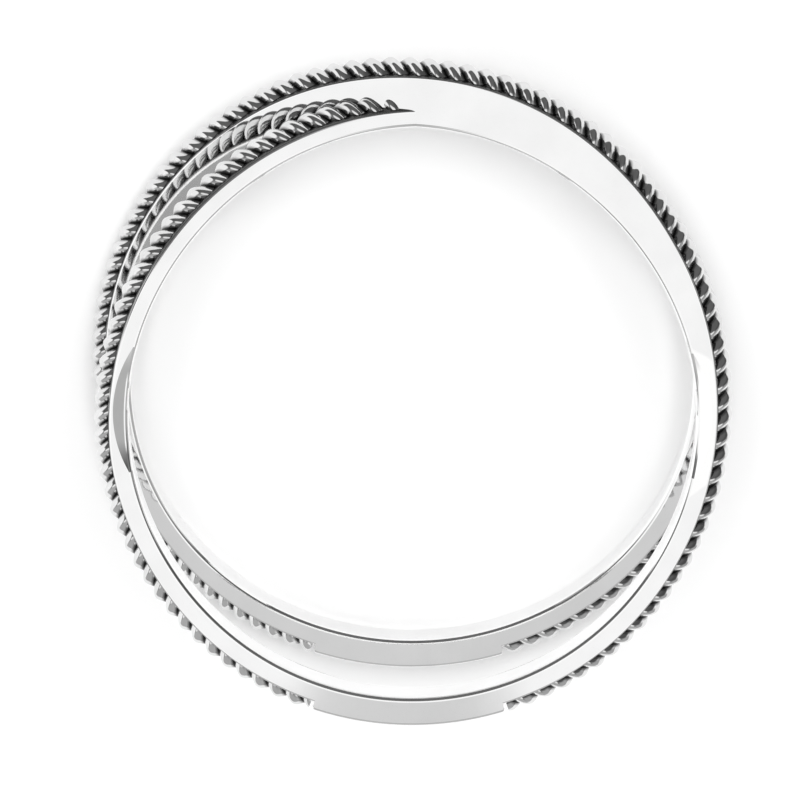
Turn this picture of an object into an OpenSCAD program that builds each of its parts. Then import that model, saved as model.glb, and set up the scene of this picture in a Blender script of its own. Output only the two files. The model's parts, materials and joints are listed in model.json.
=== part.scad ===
/* [Ring] */
// Diameter of the finger hole
bore_d = 17.3; // [15:0.1:21]
// Width of each band, measured along the finger
band_w = 1.24; // [1:0.02:1.6]
// Thickness of a band under its rope
wall = 0.63; // [0.55:0.01:0.75]
// How much thicker the band that passes over is at the crossing
over_rise = 0.98; // [0.7:0.01:1.3]
// How much thinner the band that passes under is over its front half
under_drop = 0.045; // [0:0.005:0.08]

/* [Plain back] */
// Thickness of the plain stretches at the back
plain_wall = 0.9; // [0.8:0.01:1]
// Half of the angle that a plain stretch spans
plain_half = 18; // [9:4.5:27]

/* [Edges] */
// Bevel along the inner edges
edge = 0.14; // [0.05:0.01:0.15]
// Bevel along the outer edges, beside the rope
brim = 0.06; // [0.03:0.01:0.1]
// The same on the front half of the band that passes under
under_brim = 0.1; // [0.03:0.01:0.12]
// Bevel along the outer edges of the plain stretches
plain_brim = 0.1; // [0.03:0.01:0.15]
// Width, across the band's side, of the flat on the outward inner edge at each side of the ring
flat_w = 0.33; // [0.2:0.01:0.4]
// Angle between that flat and the band's side
flat_lean = 37; // [25:1:40]
// Half of the angle round the ring that the flat spans
flat_half = 12.9; // [8:0.1:18]

/* [Rope] */
// Radius of the twisted rope
rope_r = 0.44; // [0.38:0.01:0.5]
// Distance from the rope's axis to the axis of each of its two strands
strand_off = 0.15; // [0.1:0.01:0.18]
// Length of one full turn of a strand
rope_pitch = 1.16; // [1:0.01:1.4]

/* [Hidden] */

silver = [0.86, 0.86, 0.88];
rope_silver = [0.74, 0.74, 0.77];
bore_r = bore_d / 2;
bore_facets = 128;

// A place on the ring is given by its angle from the crossing, at the front, positive on the right.
// How far a band's middle lies from the ring's mid-plane, every spread_step degrees from the crossing.
// Columns: angle from the crossing, distance from the mid-plane
SPREAD = [
    [0, 0],
    [30, 0.88],
    [60, 1.77],
    [90, 2.04],
    [120, 2.30],
    [150, 2.74],
    [180, 2.87]
];
spread_step = 30;
half_turn = 180;
full_turn = 2 * half_turn;
last_knot = half_turn / spread_step;

// Share of the extra thickness that the over band has. It rises more slowly on the left than it falls on the
// right. Columns: angle from the crossing, share
RISE = [
    [-120, 0],
    [-100, 0.03],
    [-80, 0.275],
    [-60, 0.48],
    [-40, 0.735],
    [-20, 0.96],
    [0, 1],
    [20, 0.91],
    [40, 0.645],
    [60, 0.325],
    [80, 0.085],
    [100, 0],
    [120, 0]
];
rise_step = 20;
rise_end = 120;
last_rise = len(RISE) - 1;

// Where the under band's thin front half ends, and the angle over which it thickens again
thin_end = 100;
thin_fade = 20;

// Angle from the crossing to the middle of a flat
flat_middle = 88.5;

// Angle between a band's sections
band_step = 4.5;
// Length of the ramp, in degrees, between a roped stretch and a plain one
ramp = 0.2;
// How far the swept bands reach into the bore before it is cut
over_skin = 0.2;
under_skin = 0.25;

// Clearance of a rope from the band under it, and from the wall and steps that end it
seat = 0.01;
cut_gap = 0.03;
end_gap = 0.06;
rope_strand_r = rope_r - strand_off;
sections_per_turn = 8;
rope_arc_points = 8;
// The over band's wall, which cuts the under rope, is taken to reach this many degrees each way, and this
// far above the under band's outer face
cut_reach = 27;
cut_height = 1.6;

// One value of a smooth curve through four neighbouring knots
function through(a, b, c, d, t) =
    b + t * (c - a) / 2 + t * t * (a - 2.5 * b + 2 * c - d / 2) + t * t * t * (1.5 * (b - c) + (d - a) / 2);
function knot(i) = i < 0 ? -SPREAD[-i][1] : i > last_knot ? SPREAD[2 * last_knot - i][1] : SPREAD[i][1];
function spread_at(t) =
    let (i = min(floor(t), last_knot - 1))
    through(knot(i - 1), knot(i), knot(i + 1), knot(i + 2), t - i);
function middle(a) = sign(a) * spread_at(abs(a) / spread_step);

// Outer radius of the bands
function rise_knot(i) = i < 0 || i > last_rise ? 0 : RISE[i][1];
function rise_at(t) =
    let (i = min(floor(t), last_rise - 1))
    through(rise_knot(i - 1), rise_knot(i), rise_knot(i + 1), rise_knot(i + 2), t - i);
function raised(a) = abs(a) < rise_end ? over_rise * max(0, rise_at((a + rise_end) / rise_step)) : 0;
function plain_at(a) = max(0, min(1, (abs(a) - half_turn + plain_half + ramp) / ramp));
function eased(t) = t * t * (3 - 2 * t);
function thin_at(a) = eased(max(0, min(1, (thin_end - abs(a)) / thin_fade)));
function wall_at(a) = wall + (plain_wall - wall) * plain_at(a);
function over_outer(a) = bore_r + wall_at(a) + raised(a);
function under_outer(a) = bore_r + wall_at(a) - under_drop * thin_at(a);
function over_brim(a) = brim + (plain_brim - brim) * plain_at(a);
function under_brim_at(a) = over_brim(a) + (under_brim - brim) * thin_at(a);

// Share of the full flat that is cut on the outer-facing inner edge, 1 at the middle of each side
function flat_share(a) = max(0, 1 - pow((abs(a) - flat_middle) / flat_half, 2));

// A point at a radius, an angle from the crossing and a depth
function at(r, a, z) = [r * sin(a), r * cos(a), z];

// The bevel of the inner edge, which widens into the flat: its size across the band's side, and its depth
function bevel_r(share) = edge + flat_w * share;
function bevel_z(share) = edge + flat_w * tan(flat_lean) * share;
function inner_edge(share, skin) = [
    [bore_r - skin, bevel_z(share) * (1 + skin / bevel_r(share))],
    [bore_r + bevel_r(share), 0]
];

// The section of a band, from its outer face over the far side, the bore and the near side
function band_section(a, outer, b, z, skin) =
    let (
        near = z + band_w / 2,
        far = z - band_w / 2,
        share = flat_share(a),
        near_edge = inner_edge(z > 0 ? share : 0, skin),
        far_edge = inner_edge(z > 0 ? 0 : share, skin)
    )
    [
        at(outer, a, far + b),
        at(outer - b, a, far),
        at(far_edge[1][0], a, far),
        at(far_edge[0][0], a, far + far_edge[0][1]),
        at(near_edge[0][0], a, near - near_edge[0][1]),
        at(near_edge[1][0], a, near),
        at(outer - b, a, near),
        at(outer, a, near - b)
    ];
// The over band's wall, grown by the clearance that the under rope keeps from it
function wall_section(a) =
    let (
        half = band_w / 2 + cut_gap,
        z = middle(a),
        inner = bore_r - over_skin,
        outer = bore_r + wall + cut_height
    )
    [at(outer, a, z - half), at(inner, a, z - half), at(inner, a, z + half), at(outer, a, z + half)];

// Angles at which a band has a section, with the ramps beside its plain stretch. The under band's sections
// lie halfway between the over band's, so that the two cross cleanly.
plain_edge = half_turn - plain_half;
ramps = [-plain_edge, ramp - plain_edge, plain_edge - ramp, plain_edge];
function between(from, to, first) = [for (a = [first : band_step : to - band_step / 4]) if (a > from) a];
function band_angles(shift) = concat(
    [-half_turn],
    between(-half_turn, ramps[0], shift - half_turn),
    [ramps[0], ramps[1]],
    between(ramps[1], ramps[2], shift - plain_edge),
    [ramps[2], ramps[3]],
    between(ramps[3], half_turn, shift + plain_edge),
    [half_turn]);

// The rope's path, on the middle of a band's outer face
function over_path(a) = at(over_outer(a) + seat, a, middle(a));
// The under rope is drawn aside, away from the over band, where it runs in beside the crossing
rope_swerve = 0.1;
swerve_end = 12;
function swerve(a) = rope_swerve * eased(max(0, 1 - abs(a) / swerve_end));
function under_path(a) = at(under_outer(a) + seat, a, swerve(a) - middle(a));
// Length of the piece of a path that ends at a point, and the running length at every point
function piece(points, i) = i > 0 && i < len(points) ? norm(points[i] - points[i - 1]) : 0;
function lengths(points) =
    [for (i = 0, sum = 0; i < len(points); i = i + 1, sum = sum + piece(points, i)) sum];
fine_step = 1.5;
rope_end = plain_edge - ramp - end_gap / (bore_r + wall) * half_turn / PI;
right_angles = [for (a = [0 : fine_step : rope_end - fine_step / 2]) a, rope_end];
left_angles = -right_angles;
over_right = lengths([for (a = right_angles) over_path(a)]);
over_left = lengths([for (a = left_angles) over_path(a)]);
under_left = lengths([for (a = left_angles) under_path(a)]);
last_angle = len(right_angles) - 1;
// Columns: length along the path from the crossing, negative on the left, and angle
over_table = concat(
    [for (i = [last_angle : -1 : 1]) [-over_left[i], left_angles[i]]],
    [for (i = [0 : last_angle]) [over_right[i], right_angles[i]]]);
under_table = [for (i = [last_angle : -1 : 0]) [-under_left[i], left_angles[i]]];
over_start = -over_left[last_angle];
over_stop = over_right[last_angle];
under_start = -under_left[last_angle];
function over_angle(s) = lookup(s, over_table);
function under_angle(s) = lookup(s, under_table);

// The outline of two touching round strands, at an angle from the line through their axes
function strands(t) =
    strand_off * abs(cos(t)) + sqrt(pow(rope_strand_r, 2) - pow(strand_off * sin(t), 2));
function unit(v) = v / norm(v);
// The upper half of the rope's section, square to its path, with a flat foot on the band
function rope_section(path, turn) =
    let (
        here = path[1],
        along = unit(path[2] - path[0]),
        radial = unit([here.x, here.y, 0]),
        out = unit(radial - along * (along * radial)),
        side = cross(along, out)
    )
    [for (i = [0 : rope_arc_points - 1])
        let (t = half_turn * i / (rope_arc_points - 1), r = strands(t - turn))
        here + side * r * cos(t) + out * r * sin(t)];

// Three neighbouring places on a rope's path, for its place and its direction
tangent_step = 0.2;
function over_places(a) = [over_path(a - tangent_step), over_path(a), over_path(a + tangent_step)];
function under_places(a) = [under_path(a - tangent_step), under_path(a), under_path(a + tangent_step)];
rope_step = rope_pitch / sections_per_turn;
crest_turn = 90;
// Where a strand lies straight on top of each rope, as a length from the crossing
over_crest = -0.165;
under_crest = 0.18;
// The strands turn as a right-hand thread does
function rope_turn(s, crest) = crest_turn - full_turn * (s - crest) / rope_pitch;
// Lengths along a rope at which it has a section: its ends, and every step from the crest between them that
// keeps this share of a step from both ends
station_gap = 0.2;
function stations(start, stop, crest) =
    let (
        first = ceil((start - crest) / rope_step + station_gap),
        last = floor((stop - crest) / rope_step - station_gap)
    )
    [start, for (i = [first : last]) crest + i * rope_step, stop];
over_stations = stations(over_start, over_stop, over_crest);
under_stations = stations(under_start, 0, under_crest);

// A solid through sections that all have the same number of points
module skin(sections) {
    n = len(sections[0]);
    last = len(sections) - 1;
    points = [for (s = sections) each s];
    sides = [for (i = [0 : last - 1], j = [0 : n - 1])
        let (a = i * n + j, b = i * n + (j + 1) % n)
        each [[a, b, a + n], [b, b + n, a + n]]];
    first_cap = [for (j = [n - 1 : -1 : 0]) j];
    last_cap = [for (j = [0 : n - 1]) last * n + j];
    polyhedron(points, concat([first_cap], sides, [last_cap]), convexity = 8);
}

module over_band() {
    skin([for (a = band_angles(band_step))
        band_section(a, over_outer(a), over_brim(a), middle(a), over_skin)]);
}

module under_band() {
    skin([for (a = band_angles(band_step / 2))
        band_section(a, under_outer(a), under_brim_at(a), -middle(a), under_skin)]);
}

module over_wall() {
    skin([for (a = [-cut_reach : band_step : cut_reach]) wall_section(a)]);
}

module under_run() {
    difference() {
        skin([for (s = under_stations)
            rope_section(under_places(under_angle(s)), rope_turn(s, under_crest))]);
        over_wall();
    }
}

// How the ring lies: its far side meets the floor at the back and at two places beside the crossing. The over
// band, which is thicker, meets it first.
function lean(a) =
    (middle(half_turn) - middle(a)) / ((over_outer(-a) - brim) * cos(a) + bore_r + edge);
rest_tilt = atan(min([for (a = [band_step : band_step : 90]) lean(a)]));
back_depth = middle(half_turn) + band_w / 2;
lift = back_depth * cos(rest_tilt) - (bore_r + edge) * sin(rest_tilt);
front_reach = (over_outer(0) + seat + rope_r) * cos(rest_tilt);
back_reach = (bore_r + plain_wall) * cos(rest_tilt) + (back_depth - plain_brim) * sin(rest_tilt);

module lying() {
    translate([0, (back_reach - front_reach) / 2, lift]) rotate([-rest_tilt, 0, 0]) children();
}

module crossover_band() {
    color(silver) lying() difference() {
        union() {
            over_band();
            under_band();
        }
        cylinder(h = 3 * back_depth, r = bore_r, center = true, $fn = bore_facets);
    }
}

module rope_over() {
    color(rope_silver) lying()
        skin([for (s = over_stations)
            rope_section(over_places(over_angle(s)), rope_turn(s, over_crest))]);
}

module rope_under_left() {
    color(rope_silver) lying() under_run();
}

module rope_under_right() {
    color(rope_silver) lying() rotate([0, half_turn, 0]) under_run();
}

crossover_band();
rope_over();
rope_under_left();
rope_under_right();
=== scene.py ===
import json
import math

import bmesh
import bpy
import numpy as np
from mathutils import Matrix, Vector


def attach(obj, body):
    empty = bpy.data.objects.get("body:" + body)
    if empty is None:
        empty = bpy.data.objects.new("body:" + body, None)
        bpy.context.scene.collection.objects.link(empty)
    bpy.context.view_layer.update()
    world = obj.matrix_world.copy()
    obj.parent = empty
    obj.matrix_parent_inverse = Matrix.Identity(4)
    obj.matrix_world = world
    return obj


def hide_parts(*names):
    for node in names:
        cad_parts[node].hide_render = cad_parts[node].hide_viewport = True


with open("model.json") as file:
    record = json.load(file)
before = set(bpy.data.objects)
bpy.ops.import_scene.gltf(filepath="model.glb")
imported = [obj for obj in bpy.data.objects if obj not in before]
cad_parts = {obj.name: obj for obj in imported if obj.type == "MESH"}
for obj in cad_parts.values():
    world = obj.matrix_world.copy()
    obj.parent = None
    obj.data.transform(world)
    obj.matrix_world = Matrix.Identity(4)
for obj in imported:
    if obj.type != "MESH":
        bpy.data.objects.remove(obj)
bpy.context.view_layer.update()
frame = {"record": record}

MM = 0.001

# The ring's own frame, from the finger hole: x across, y from the back to the crossing, z along the finger.
# Lengths in it are millimetres. An angle is measured from the crossing, positive on the right.
HOLE = frame["record"]["mounts"][0]
CENTRE = Vector(HOLE["pos_m"])
AXIS = Vector(HOLE["axis"]).normalized()
RIGHT = Vector((1.0, 0.0, 0.0))
FRONT = AXIS.cross(RIGHT)
BORE_R = HOLE["dims"]["r_mm"]

# Bands: width, thickness, radius of the outer edges and radius of the edges towards the bore
BAND_W = 1.24
WALL = 0.63
BRIM = 0.06
EDGE = 0.14

# How far a band's middle lies from the ring's mid-plane, every 30 degrees from the crossing
SPREAD = [0.88, 1.77, 2.04, 2.30, 2.74, 2.87]
SPREAD_STEP = math.radians(30)

# How much thicker the over band is, every 20 degrees from 120 degrees left of the crossing to 120 right of it
RISE = [0, 0.03, 0.27, 0.47, 0.72, 0.94, 0.98, 0.89, 0.63, 0.32, 0.085, 0, 0]
RISE_STEP = math.radians(20)
RISE_END = math.radians(120)

# How much thinner the under band is over the front, the radius of its outer edges there, the angle where that
# ends and the angle over which it fades. Its bore lies a skin deeper, so that the two bores don't coincide
UNDER_DROP = 0.045
UNDER_BRIM = 0.1
THIN_END = math.radians(100)
THIN_FADE = math.radians(20)
UNDER_SKIN = 0.001

# The plain stretch at the back: thickness, radius of its outer edges, and the angle of the step up to it
PLAIN_WALL = 0.9
PLAIN_BRIM = 0.1
PLAIN_EDGE = math.radians(161.9)
PLAIN_RISE = PLAIN_WALL - WALL

# The crescent flats at the sides: width along the side face, lean, middle and half length
FLAT_W = 0.33
FLAT_LEAN = math.radians(37)
FLAT_MIDDLE = math.radians(88.5)
FLAT_HALF = math.radians(12.9)

# The painted highlight on the right of the over band's near side face, a bright stretch that stands in for a
# reflection: its middle, its half length along the outer and the inner edge, and the angle over which its
# share falls from 1 to 0
HIGHLIGHT_MIDDLE = math.radians(90)
HIGHLIGHT_HALF = [math.radians(12.2), math.radians(15.2)]
HIGHLIGHT_FADE = math.radians(20)

# Rope: its radius, its two strands, and the length of a turn and of a lump along it
ROPE_R = 0.44
STRAND_OFF = 0.15
STRAND_R = ROPE_R - STRAND_OFF
PITCH = 1.16
LUMP = PITCH / 2

# Where the ropes lie: the gap to the band, the end at the plain stretch, and a length from the crossing at
# which a crest is on top
SEAT = 0.01
ROPE_END = math.radians(161.43)
OVER_PHASE = -0.165
UNDER_PHASE = 0.18

# The under ropes' swerve beside the crossing, and the wall that cuts them: its clearance, the angle that it
# reaches on each side, and how far it goes below the bore and above the outer face
SWERVE = 0.1
SWERVE_END = math.radians(12)
CUT_GAP = 0.03
CUT_REACH = math.radians(27)
CUT_BELOW = 0.2
CUT_ABOVE = 1.6

# Mesh fineness. A guard point keeps the shading of a flat face flat beside a rounded edge. The points of an
# edge are those of its arc and its guards. The nudge is a small angle over which a path's direction is taken
BAND_STEPS = 720
ARC_STEPS = 5
GUARD = 0.02
OUTER_POINTS = ARC_STEPS + 3
INNER_POINTS = ARC_STEPS + 4
LUMP_STEPS = 12
ROUND_STEPS = 24
PATH_STEPS = 2400
CUT_STEPS = 120
PATH_NUDGE = 1e-4

# Sections at the step up to the plain stretch, in millimetres past it, and how far the others keep off them.
# The nudge is an angle that puts the section at 0 on the plain side
STEP_PLACES = [-0.01, 0.0, 0.004, 0.012, 0.024, 0.04, 0.06, 0.08, 0.1, 0.13]
STEP_CLEAR = 0.02
STEP_NUDGE = 1e-7

# Mesh repair: the distances within which points are merged and slivers dissolved, the number of corners that
# only the caps of a band's ends exceed, and the angles in degrees from which a fold stays sharp
BAND_MERGE = 1e-6
ROPE_MERGE = 2e-4
SLIVER = 2e-4
CAP_CORNERS = 20
BAND_CREASE = 8
ROPE_CREASE = 40

# How quickly the wear on a rope falls off beside its crests
CREST_POWER = 4

# Metal: clouds, hairlines and swirls, as features per millimetre, detail and stretch, the share of the swirls
# in the roughness, and the depth of the scratches in millimetres
CLOUDS = (0.7, 4)
HAIRS = (14.0, 2, (1.0, 0.3, 0.6))
SWIRLS = (2.0, 4)
SWIRL_SHARE = 0.5
SCRATCH_DEPTH = 0.002

# How the noise and the marks on the meshes turn into tone and roughness, as pairs of place and value. Clouds
# and roughness have their places here, and each metal gives the values. The factors spread its roughness
CLOUD_PLACES = (0.35, 0.65)
ROUGH_PLACES = (0.3, 0.7)
ROUGH_FACTORS = (0.6, 1.4)
WEAR_BREAKS = [(0.35, 0.6), (0.6, 1.0)]
# Painted highlight: how the share of the bright stretch on the over band's near side face turns into
# brightness
PAINTED_HIGHLIGHT_TONE = [(0.48, 0.0), (0.52, 1.0)]
# Painted shade: how the groove share darkens the rope's valleys and the band's outer face beside the ropes
PAINTED_GROOVE_SHADE = [(0.45, 1.0), (0.85, 0.12)]
GROOVE_ROUGH = [(0.6, 0.0), (0.85, 0.35)]
# The colour that the wear and the painted highlight turn the tone towards
WEAR_AND_HIGHLIGHT_TONE = (0.98, 0.98, 0.975)

# Camera, as for the photo: its turns from the finger axis, its distance in metres, its sensor and lens in
# millimetres, and its shift
TILT = math.radians(16.73)
YAW = math.radians(-0.37)
ROLL = math.radians(-0.76)
DISTANCE = 0.338
SENSOR = 36
LENS = 495.8
SHIFT_X = -0.015125
SHIFT_Y = -0.0063375

# Floor, with its radius in metres, and the lamp over it
FLOOR_R = 1.5
FLOOR_SIDES = 96
FLOOR_TONE = (0.93, 0.93, 0.93)
FLOOR_ROUGH = 0.6
FLOOR_GLOW = 0.12
LAMP_STRENGTH = 2.3
LAMP_SPREAD = math.radians(50)
LAMP_TURNS = (math.radians(-32), math.radians(4), 0)

# Studio: screens in front of bright surroundings, later ones in front of earlier ones. Each has the direction
# of its middle, the angles from there in degrees at which it starts to fade and is gone, and a brightness
SURROUNDINGS = 1.5
SCREENS = [
    ((0.0, 0.0, 1.0), 62, 84, 0.2),
    ((0.0, -1.0, 0.35), 35, 60, 0.5),
    ((1.0, -0.27, 0.26), 18, 34, 0.45),
    ((0.0, 0.93, 0.3), 50, 74, 0.2),
    ((0.7, 0.6, 0.45), 20, 38, 0.09),
    ((-0.7, 0.6, 0.45), 16, 34, 0.12),
    ((0.0, 0.9, 0.5), 25, 48, 0.14),
    ((-1.0, -0.1, 0.2), 26, 34, 1.15),
    ((-0.32, -0.13, 1.0), 15, 22, 1.02),
    ((0.32, -0.13, 1.0), 15, 22, 1.02),
    ((0.0, -0.06, 1.0), 12, 18, 1.02),
    ((0.0, -0.37, 1.0), 6, 11, 0.68)
]


def eased(share):
    """A share from 0 to 1 that leaves 0 and meets 1 smoothly."""
    return share ** 2 * (3 - 2 * share)


def spread_waves():
    """The sine waves that pass through the SPREAD values and stay smooth all round the ring."""
    knots = SPREAD_STEP * np.arange(1, len(SPREAD) + 1)
    waves = np.arange(1, len(SPREAD) + 1) - 0.5
    return waves, np.linalg.solve(np.sin(np.outer(knots, waves)), SPREAD)


WAVES, HEIGHTS = spread_waves()


def middle(a):
    """The place of the over band's middle along the finger. The under band's is the opposite."""
    return np.sin(np.multiply.outer(a, WAVES)) @ HEIGHTS


def raised(a):
    """The over band's extra thickness: a smooth curve through the RISE values, and nothing beyond them."""
    values = np.pad(RISE, 1)
    place = np.clip((a + RISE_END) / RISE_STEP, 0, len(RISE) - 1)
    i = np.minimum(np.floor(place).astype(int), len(RISE) - 2)
    t = place - i
    before, here, after, beyond = values[i], values[i + 1], values[i + 2], values[i + 3]
    square = 2 * before - 5 * here + 4 * after - beyond
    cube = 3 * (here - after) + beyond - before
    bend = square * t ** 2 + cube * t ** 3
    return np.maximum(0, here + ((after - before) * t + bend) / 2)


def thin_share(a):
    """1 over the front half of the ring, falling smoothly to 0 where the bands turn to the back."""
    return eased(np.clip((THIN_END - np.abs(a)) / THIN_FADE, 0, 1))


def plain_share(a):
    """How much of the plain stretch's extra thickness there is at an angle. Its step has a rounded corner."""
    past = (np.abs(a) - PLAIN_EDGE) * (BORE_R + PLAIN_WALL)
    short = np.clip(PLAIN_BRIM - past, 0, PLAIN_BRIM)
    rounded = PLAIN_RISE - PLAIN_BRIM + np.sqrt(PLAIN_BRIM ** 2 - short ** 2)
    return np.where(past < 0, 0.0, rounded / PLAIN_RISE)


def under_outer(a):
    """The radius of the under band's outer face."""
    return BORE_R + WALL - UNDER_DROP * thin_share(a) + PLAIN_RISE * plain_share(a)


def over_outer(a):
    """The radius of the over band's outer face."""
    return BORE_R + WALL + raised(a) + PLAIN_RISE * plain_share(a)


def over_brim(a):
    """The radius of the over band's outer edges."""
    return BRIM + (PLAIN_BRIM - BRIM) * plain_share(a)


def under_brim(a):
    """The radius of the under band's outer edges."""
    return over_brim(a) + (UNDER_BRIM - BRIM) * thin_share(a)


def at(r, a, z):
    """Points at a distance from the finger axis, an angle and a place along the finger."""
    return np.stack([r * np.sin(a), r * np.cos(a), z + 0 * r], axis=-1)


def over_path(a):
    """The path of the over band's rope, along the middle of the outer face."""
    return at(over_outer(a) + SEAT, a, middle(a))


def under_path(a):
    """The path of the left under rope, which is drawn aside where it runs in beside the crossing."""
    drawn = np.clip(1 - np.abs(a) / SWERVE_END, 0, 1)
    return at(under_outer(a) + SEAT, a, SWERVE * eased(drawn) - middle(a))


# Meshes

def to_cad_frame(points):
    """Points of the ring's own frame, as metres in the CAD model's frame."""
    axes = np.array([RIGHT, FRONT, AXIS])
    return np.asarray(points) @ axes * MM + np.array(CENTRE)


def new_piece(name, points, faces):
    """An object in the scene with a mesh of its own."""
    mesh = bpy.data.meshes.new(name)
    mesh.from_pydata(to_cad_frame(points).tolist(), [], faces)
    piece = bpy.data.objects.new(name, mesh)
    bpy.context.scene.collection.objects.link(piece)
    return piece


def grid_faces(rows, columns):
    """Quads of a grid of points that closes on itself across its columns."""
    i, j = np.meshgrid(np.arange(rows - 1), np.arange(columns), indexing="ij")
    j2 = (j + 1) % columns
    corners = [i * columns + j, i * columns + j2, (i + 1) * columns + j2, (i + 1) * columns + j]
    return np.stack(corners, axis=-1).reshape(-1, 4).tolist()


def mark(piece, name, shares):
    """Gives each corner of each face its point's share of something that the metal's look follows."""
    corners = np.empty(len(piece.data.loops), dtype=np.int32)
    piece.data.loops.foreach_get("vertex_index", corners)
    layer = piece.data.attributes.new(name, "FLOAT", "CORNER")
    layer.data.foreach_set("value", np.ravel(shares)[corners])


def close_up(piece, merge):
    """Merges points that coincide, fills open ends and turns all faces outwards."""
    bm = bmesh.new()
    bm.from_mesh(piece.data)
    bmesh.ops.remove_doubles(bm, verts=bm.verts, dist=merge * MM)
    rim = [edge for edge in bm.edges if edge.is_boundary]
    bmesh.ops.holes_fill(bm, edges=rim, sides=0)
    bmesh.ops.recalc_face_normals(bm, faces=bm.faces)
    bm.to_mesh(piece.data)
    bm.free()


def combine(piece, other, operation):
    """Unites a piece with another closed piece, or cuts the other out of it, and uses the other up."""
    modifier = piece.modifiers.new("combine", "BOOLEAN")
    modifier.operation = operation
    modifier.solver = "EXACT"
    modifier.object = other
    bpy.context.view_layer.update()
    solid = piece.evaluated_get(bpy.context.evaluated_depsgraph_get())
    mesh = bpy.data.meshes.new_from_object(solid)
    piece.modifiers.clear()
    piece.data = mesh
    bpy.data.objects.remove(other)


def drop_slivers(piece):
    """Takes away the faces without area that a cut has left."""
    bm = bmesh.new()
    bm.from_mesh(piece.data)
    bmesh.ops.dissolve_degenerate(bm, dist=SLIVER * MM, edges=bm.edges)
    bm.to_mesh(piece.data)
    bm.free()


def smooth(piece, crease):
    """Shades a piece as round, apart from the folds of more than an angle in degrees."""
    piece.data.shade_smooth()
    piece.data.set_sharp_from_angle(angle=math.radians(crease))


# Bands

def quarter_turn():
    return np.linspace(0, math.pi / 2, ARC_STEPS + 1)


def outer_edge(r, z, brim, side):
    """The rounded edge from the outer face to a side face, with a guard point at each end."""
    arc = [(r - brim * (1 - math.cos(t)), z - side * brim * (1 - math.sin(t))) for t in quarter_turn()]
    return [(r, z - side * (brim + GUARD))] + arc + [(r - brim - GUARD, z)]


def inner_edge(r, z, share, side):
    """The flat and the rounded edge from a side face to the bore, with a guard point at each end.

    share is how much of the full flat there is. Without a flat the edge is a quarter of a circle.
    """
    fold = r + EDGE + FLAT_W * share
    low = z - side * FLAT_W * share * math.tan(FLAT_LEAN)
    arc = [(r + EDGE * (1 - math.sin(t)), low - side * EDGE * (1 - math.cos(t))) for t in quarter_turn()]
    return [(fold + GUARD, z), (fold, z)] + arc + [(r + 0 * z, low - side * (EDGE + GUARD))]


def band_angles():
    """The angles of a band's sections, which lie closer at the plain stretch's step. None is at the back."""
    turn = np.linspace(-math.pi, math.pi, BAND_STEPS + 1)[1:-1]
    right = PLAIN_EDGE + np.array(STEP_PLACES) / (BORE_R + PLAIN_WALL)
    near_step = np.abs(np.abs(turn)[:, None] - right).min(axis=1) < STEP_CLEAR / BORE_R
    right[STEP_PLACES.index(0.0)] += STEP_NUDGE
    return np.sort(np.concatenate([turn[~near_step], right, -right]))


def band_rows(a, outer, brim, z, bore):
    """The section of a band at each angle: near side, bore, far side, outer face."""
    share = np.maximum(0, 1 - ((np.abs(a) - FLAT_MIDDLE) / FLAT_HALF) ** 2)
    near, far = z + BAND_W / 2, z - BAND_W / 2
    near_half = outer_edge(outer, near, brim, 1) + inner_edge(bore, near, share * (z > 0), 1)
    far_half = outer_edge(outer, far, brim, -1) + inner_edge(bore, far, share * (z < 0), -1)
    return near_half + far_half[::-1]


def both_halves(half):
    """Values for the near half of a section, and the same in reverse for its far half."""
    return np.concatenate([half, half[::-1]])


def groove_rows(a):
    """Painted shade and more roughness beside a rope: the whole outer face, and the rounded edges less
    towards the side faces.
    """
    half = np.concatenate([[1], np.cos(quarter_turn()), np.zeros(1 + INNER_POINTS)])
    return np.outer(np.abs(a) < ROPE_END, both_halves(half))


def wear_rows(a):
    """Worn along the rounded edges, and not on the faces between them."""
    arc = np.ones(ARC_STEPS + 1)
    half = np.concatenate([[0], arc, [0, 0, 1], arc, [0]])
    return np.outer(np.ones(len(a)), both_halves(half))


def painted_highlight_rows(a):
    """More than a half on the painted highlight of the near side face, and less beyond its ends."""
    off = np.abs(a - HIGHLIGHT_MIDDLE)
    outer, inner = [np.clip(0.5 + (half - off) / HIGHLIGHT_FADE, 0, 1) for half in HIGHLIGHT_HALF]
    rows = np.zeros((len(a), 2 * (OUTER_POINTS + INNER_POINTS)))
    rows[:, OUTER_POINTS - 1] = outer
    rows[:, OUTER_POINTS:OUTER_POINTS + 2] = inner[:, None]
    return rows


def band(name, outer, brim, side, bore):
    """A closed band whose ends almost meet at the back. side: 1 for the over band, -1 for the under band."""
    a = band_angles()
    rows = band_rows(a, outer(a), brim(a), side * middle(a), bore)
    points = np.stack([at(r, a, z) for r, z in rows], axis=1)
    piece = new_piece(name, points.reshape(-1, 3), grid_faces(len(a), len(rows)))
    # Painted shade on the outer face and the outer edges beside the ropes
    mark(piece, "groove", groove_rows(a))
    mark(piece, "wear", wear_rows(a))
    # Painted highlight: a bright stretch on the over band's near side face, in place of a reflection
    mark(piece, "painted_highlight", painted_highlight_rows(a) * (side > 0))
    close_up(piece, BAND_MERGE)
    return piece


def cap_edges(caps, side):
    """The edges of the caps on one side of the ring's mid-plane."""
    there = [cap for cap in caps if (cap.calc_center_median() - CENTRE).dot(AXIS) * side > 0]
    return [edge for cap in there for edge in cap.edges]


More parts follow.
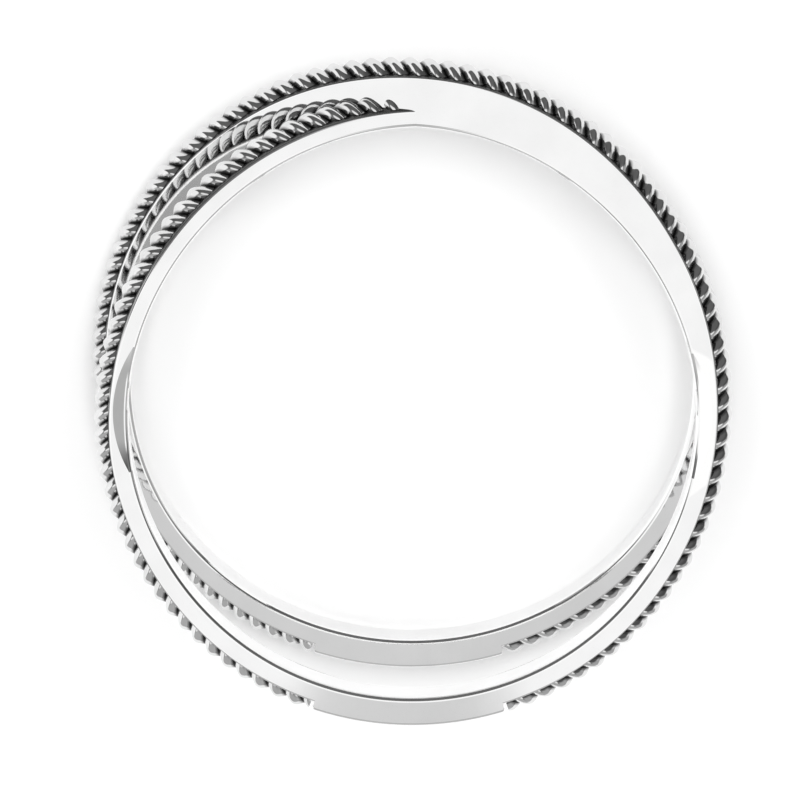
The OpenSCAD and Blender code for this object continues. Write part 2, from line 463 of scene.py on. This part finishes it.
def join_at_back(piece):
    """Opens the two ends of each band, which face each other at the back, and joins them."""
    bm = bmesh.new()
    bm.from_mesh(piece.data)
    caps = [face for face in bm.faces if len(face.verts) > CAP_CORNERS]
    near, far = cap_edges(caps, 1), cap_edges(caps, -1)
    bmesh.ops.delete(bm, geom=caps, context="FACES_ONLY")
    bmesh.ops.bridge_loops(bm, edges=near)
    bmesh.ops.bridge_loops(bm, edges=far)
    bmesh.ops.recalc_face_normals(bm, faces=bm.faces)
    bm.to_mesh(piece.data)
    bm.free()


def crossed_bands():
    """Both bands, united where they cross and joined at the back."""
    piece = band("crossed_bands", over_outer, over_brim, 1, BORE_R)
    combine(piece, band("under_band", under_outer, under_brim, -1, BORE_R + UNDER_SKIN), "UNION")
    join_at_back(piece)
    drop_slivers(piece)
    smooth(piece, BAND_CREASE)
    return piece


# Ropes

def strands(t):
    """Outline of two touching round strands, at an angle from the line through their axes."""
    return STRAND_OFF * np.abs(np.cos(t)) + np.sqrt(STRAND_R ** 2 - (STRAND_OFF * np.sin(t)) ** 2)


def unit(v):
    return v / np.linalg.norm(v, axis=-1, keepdims=True)


def path_table(path):
    """Lengths along a rope's path from the crossing, negative on the left, and the angles that they reach."""
    a = np.linspace(-ROPE_END, ROPE_END, PATH_STEPS + 1)
    steps = np.linalg.norm(np.diff(path(a), axis=0), axis=1)
    lengths = np.concatenate([[0], np.cumsum(steps)])
    return lengths - np.interp(0, a, lengths), a


def strand_turn(s, t, phase):
    """Angle from the line through the strands' axes, at a length s along a rope and an angle t round it."""
    return t - math.pi / 2 + 2 * math.pi * (s - phase) / PITCH


def rope_points(path, s, t, phase):
    """Points of the rope's surface at lengths s along its path and angles t round it."""
    a = np.interp(s, *path_table(path))
    here = path(a)
    along = unit(path(a + PATH_NUDGE) - path(a - PATH_NUDGE))
    radial = at(1 + 0 * a, a, 0)
    out = unit(radial - along * np.sum(along * radial, axis=-1, keepdims=True))
    side = np.cross(along, out)
    r = strands(strand_turn(s, t, phase))
    return here + side * (r * np.cos(t))[..., None] + out * (r * np.sin(t))[..., None]


def rope_faces(rows, columns):
    """Quads over the round of a rope, and a flat foot that joins its two sides at each length along it."""
    i, j = np.meshgrid(np.arange(rows - 1), np.arange(columns - 1), indexing="ij")
    k = i * columns + j
    faces = np.stack([k, k + 1, k + columns + 1, k + columns], axis=-1).reshape(-1, 4).tolist()
    for row in range(LUMP_STEPS, rows - 1):
        end = row * columns + columns - 1
        start = (row - LUMP_STEPS) * columns
        faces.append([end, end + columns, start + columns, start])
    return faces


def rope(name, path, start, stop, phase):
    """A rope whose mesh lines follow its strands. Each row of points is one line across the strands."""
    first = math.floor((start - phase) / LUMP) - 1
    last = math.ceil((stop - phase) / LUMP) + 1
    lumps = np.arange(first * LUMP_STEPS, last * LUMP_STEPS + 1) / LUMP_STEPS
    t = np.linspace(0, math.pi, ROUND_STEPS + 1)
    s = phase + lumps[:, None] * LUMP - (t - math.pi / 2) * PITCH / (2 * math.pi)
    s = np.clip(s, start, stop)
    points = rope_points(path, s, t + 0 * s, phase)
    piece = new_piece(name, points.reshape(-1, 3), rope_faces(*s.shape))
    crest = np.abs(np.cos(strand_turn(s, t, phase)))
    # Painted shade in the rope's valleys, away from its crests; the same share raises the roughness there
    mark(piece, "groove", 1 - crest)
    mark(piece, "wear", crest ** CREST_POWER)
    close_up(piece, ROPE_MERGE)
    return piece


def cut_wall():
    """The over band's wall beside the crossing, grown by the clearance of the ropes that it cuts."""
    a = np.linspace(-CUT_REACH, CUT_REACH, CUT_STEPS + 1)
    low, high = BORE_R - CUT_BELOW + 0 * a, BORE_R + WALL + CUT_ABOVE + 0 * a
    half = BAND_W / 2 + CUT_GAP
    near, far = middle(a) + half, middle(a) - half
    rows = [(high, far), (low, far), (low, near), (high, near)]
    points = np.stack([at(r, a, z) for r, z in rows], axis=1)
    piece = new_piece("cut_wall", points.reshape(-1, 3), grid_faces(len(a), len(rows)))
    close_up(piece, BAND_MERGE)
    return piece


def under_rope(name):
    """The left under rope, from the plain stretch to the over band."""
    piece = rope(name, under_path, path_table(under_path)[0][0], 0.0, UNDER_PHASE)
    combine(piece, cut_wall(), "DIFFERENCE")
    drop_slivers(piece)
    return piece


def turned(piece, name):
    """A copy of a piece, turned half round about the line from the back to the crossing."""
    copy = piece.copy()
    copy.data = piece.data.copy()
    copy.name = name
    bpy.context.scene.collection.objects.link(copy)
    half_turn = Matrix.Rotation(math.pi, 4, FRONT)
    copy.data.transform(Matrix.Translation(CENTRE) @ half_turn @ Matrix.Translation(-CENTRE))
    return copy


def ropes():
    """The over band's rope, and the under band's two, which are the same rope turned round."""
    lengths = path_table(over_path)[0]
    over = rope("rope_over_twist", over_path, lengths[0], lengths[-1], OVER_PHASE)
    left = under_rope("rope_left_twist")
    right = turned(left, "rope_right_twist")
    for piece in (over, left, right):
        smooth(piece, ROPE_CREASE)
    return over, left, right


# Materials

class Nodes:
    """Short calls for adding and joining the nodes of one material or world."""

    def __init__(self, tree):
        self.tree = tree
        tree.nodes.clear()

    def add(self, kind, **settings):
        node = self.tree.nodes.new("ShaderNode" + kind)
        for key, value in settings.items():
            setattr(node, key, value)
        return node

    def link(self, source, target):
        self.tree.links.new(source, target)


def noise(n, scale, detail, stretch=(1, 1, 1)):
    """Noise in the object's own coordinates, with scale in features per millimetre."""
    place = n.add("TexCoord")
    spread = n.add("Mapping")
    spread.inputs["Scale"].default_value = stretch
    n.link(place.outputs["Object"], spread.inputs["Vector"])
    texture = n.add("TexNoise")
    texture.inputs["Scale"].default_value = scale / MM
    texture.inputs["Detail"].default_value = detail
    n.link(spread.outputs["Vector"], texture.inputs["Vector"])
    return texture.outputs["Fac"]


def ramp(n, source, stops):
    """Turns a value into another, through stops of place and value."""
    node = n.add("ValToRGB")
    n.link(source, node.inputs["Fac"])
    elements = node.color_ramp.elements
    for element, (place, value) in zip(elements, stops, strict=True):
        element.position = place
        element.color = (value, value, value, 1)
    return node.outputs["Color"]


def mixed(n, kind, a, b, share=1.0):
    """Mixes, adds or multiplies two colours."""
    mix = n.add("MixRGB", blend_type=kind)
    mix.inputs["Fac"].default_value = share
    n.link(a, mix.inputs["Color1"])
    n.link(b, mix.inputs["Color2"])
    return mix.outputs["Color"]


def shade(n, colour, share, other):
    """A colour, turned by a share to another one, which is the same everywhere."""
    mix = n.add("MixRGB", blend_type="MIX")
    n.link(share, mix.inputs["Fac"])
    n.link(colour, mix.inputs["Color1"])
    mix.inputs["Color2"].default_value = (*other, 1)
    return mix.outputs["Color"]


def share_of(n, name):
    """The share that mark() has given the surface."""
    return n.add("Attribute", attribute_name=name).outputs["Fac"]


def silver_tone(n, low, high, worn, swirls):
    """Clouded between low and high, lighter where worn, a painted highlight, and painted shade in the
    grooves.
    """
    tone = ramp(n, noise(n, *CLOUDS), zip(CLOUD_PLACES, (low, high)))
    edges = ramp(n, share_of(n, "wear"), [(0.0, 0.0), (1.0, worn)])
    edges = mixed(n, "MULTIPLY", edges, ramp(n, swirls, WEAR_BREAKS))
    # Painted highlight: the bright stretch on the over band's near side face is added to the wear
    edges = mixed(n, "ADD", edges, ramp(n, share_of(n, "painted_highlight"), PAINTED_HIGHLIGHT_TONE))
    tone = shade(n, tone, edges, WEAR_AND_HIGHLIGHT_TONE)
    # Painted shade: darker in the rope's valleys and on the band's outer face beside the ropes
    return mixed(n, "MULTIPLY", tone, ramp(n, share_of(n, "groove"), PAINTED_GROOVE_SHADE))


def silver_roughness(n, rough, hairs, swirls):
    """Varied by the hairlines and the swirls, and higher in the grooves."""
    values = [rough * factor for factor in ROUGH_FACTORS]
    roughness = ramp(n, mixed(n, "MIX", hairs, swirls, SWIRL_SHARE), zip(ROUGH_PLACES, values))
    return mixed(n, "ADD", roughness, ramp(n, share_of(n, "groove"), GROOVE_ROUGH))


def silver(name, low, high, rough, worn, scratch):
    """Polished silver: clouded tone, brighter worn edges, a painted highlight, hairline scratches, and
    painted shade in the grooves.
    """
    material = bpy.data.materials.new(name)
    material.use_nodes = True
    n = Nodes(material.node_tree)
    out = n.add("OutputMaterial")
    metal = n.add("BsdfPrincipled")
    n.link(metal.outputs["BSDF"], out.inputs["Surface"])
    metal.inputs["Metallic"].default_value = 1.0
    hairs, swirls = noise(n, *HAIRS), noise(n, *SWIRLS)
    n.link(silver_tone(n, low, high, worn, swirls), metal.inputs["Base Color"])
    n.link(silver_roughness(n, rough, hairs, swirls), metal.inputs["Roughness"])
    bump = n.add("Bump")
    bump.inputs["Strength"].default_value = scratch
    bump.inputs["Distance"].default_value = SCRATCH_DEPTH * MM
    n.link(mixed(n, "ADD", hairs, swirls), bump.inputs["Height"])
    n.link(bump.outputs["Normal"], metal.inputs["Normal"])
    return material


def dress(piece, material, node):
    """Gives a piece its material, hangs it on the root body and hides the CAD node that it stands for."""
    piece.data.materials.clear()
    piece.data.materials.append(material)
    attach(piece, "root")
    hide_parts(node)


# Camera, floor and light

def make_camera():
    """A camera that looks along the finger axis, tilted, yawed and rolled as in the photo."""
    right = RIGHT * math.cos(YAW) - AXIS * math.sin(YAW)
    level = RIGHT * math.sin(YAW) + AXIS * math.cos(YAW)
    back = FRONT * math.sin(TILT) + level * math.cos(TILT)
    up = FRONT * math.cos(TILT) - level * math.sin(TILT)
    rolled_right = right * math.cos(ROLL) - up * math.sin(ROLL)
    rolled_up = right * math.sin(ROLL) + up * math.cos(ROLL)
    data = bpy.data.cameras.new("camera")
    data.sensor_width = SENSOR
    data.lens = LENS
    data.shift_x = SHIFT_X
    data.shift_y = SHIFT_Y
    camera = bpy.data.objects.new("camera", data)
    pose = Matrix((rolled_right, rolled_up, back)).transposed().to_4x4()
    pose.translation = CENTRE + back * DISTANCE
    camera.matrix_world = pose
    bpy.context.scene.collection.objects.link(camera)
    bpy.context.scene.camera = camera


def make_floor():
    """A round sheet of pale paper, which glows a little to stay white in the picture."""
    mesh = bpy.data.meshes.new("floor")
    bm = bmesh.new()
    bmesh.ops.create_circle(bm, cap_ends=True, segments=FLOOR_SIDES, radius=FLOOR_R)
    bm.to_mesh(mesh)
    bm.free()
    floor = bpy.data.objects.new("floor", mesh)
    bpy.context.scene.collection.objects.link(floor)
    material = bpy.data.materials.new("floor_paper")
    material.use_nodes = True
    shader = material.node_tree.nodes["Principled BSDF"]
    shader.inputs["Base Color"].default_value = (*FLOOR_TONE, 1)
    shader.inputs["Roughness"].default_value = FLOOR_ROUGH
    shader.inputs["Emission Color"].default_value = (1, 1, 1, 1)
    shader.inputs["Emission Strength"].default_value = FLOOR_GLOW
    mesh.materials.append(material)


def make_light():
    """A broad lamp that lights the floor. The metal shows the screens of the studio, not the lamp."""
    data = bpy.data.lights.new("lamp", "SUN")
    data.energy = LAMP_STRENGTH
    data.angle = LAMP_SPREAD
    lamp = bpy.data.objects.new("lamp", data)
    lamp.rotation_euler = LAMP_TURNS
    lamp.visible_glossy = False
    bpy.context.scene.collection.objects.link(lamp)


def zone(n, direction, inner, outer):
    """1 within an angle of a direction, falling smoothly to 0 at a wider angle. Angles are in degrees."""
    where = n.add("TexCoord")
    along = n.add("VectorMath", operation="DOT_PRODUCT")
    along.inputs[1].default_value = Vector(direction).normalized()
    n.link(where.outputs["Generated"], along.inputs[0])
    share = n.add("MapRange", interpolation_type="SMOOTHSTEP")
    share.inputs["From Min"].default_value = math.cos(math.radians(outer))
    share.inputs["From Max"].default_value = math.cos(math.radians(inner))
    n.link(along.outputs["Value"], share.inputs["Value"])
    return share.outputs["Result"]


def make_world():
    """The surroundings and the screens, which light the scene and show in the metal."""
    world = bpy.data.worlds.new("studio")
    bpy.context.scene.world = world
    world.use_nodes = True
    n = Nodes(world.node_tree)
    out = n.add("OutputWorld")
    shine = n.add("Background")
    n.link(shine.outputs["Background"], out.inputs["Surface"])
    surroundings = n.add("RGB")
    surroundings.outputs[0].default_value = (SURROUNDINGS, SURROUNDINGS, SURROUNDINGS, 1)
    colour = surroundings.outputs[0]
    for direction, inner, outer, grey in SCREENS:
        colour = shade(n, colour, zone(n, direction, inner, outer), (grey, grey, grey))
    n.link(colour, shine.inputs["Color"])


polished = silver("polished_silver_band", low=0.87, high=0.91, rough=0.04, worn=0.6, scratch=0.06)
# Painted shade: the ropes get a darker copy of the band's silver, so that they read greyer than the bands
shaded_rope_silver = silver("rope_silver_twist", low=0.69, high=0.77, rough=0.06, worn=0.1, scratch=0.12)

bands = crossed_bands()
over_rope, left_rope, right_rope = ropes()
dress(bands, polished, "crossover_band")
dress(over_rope, shaded_rope_silver, "rope_over")
dress(left_rope, shaded_rope_silver, "rope_under_left")
dress(right_rope, shaded_rope_silver, "rope_under_right")

make_floor()
make_light()
make_world()
make_camera()
bpy.context.scene.view_settings.view_transform = "Standard"
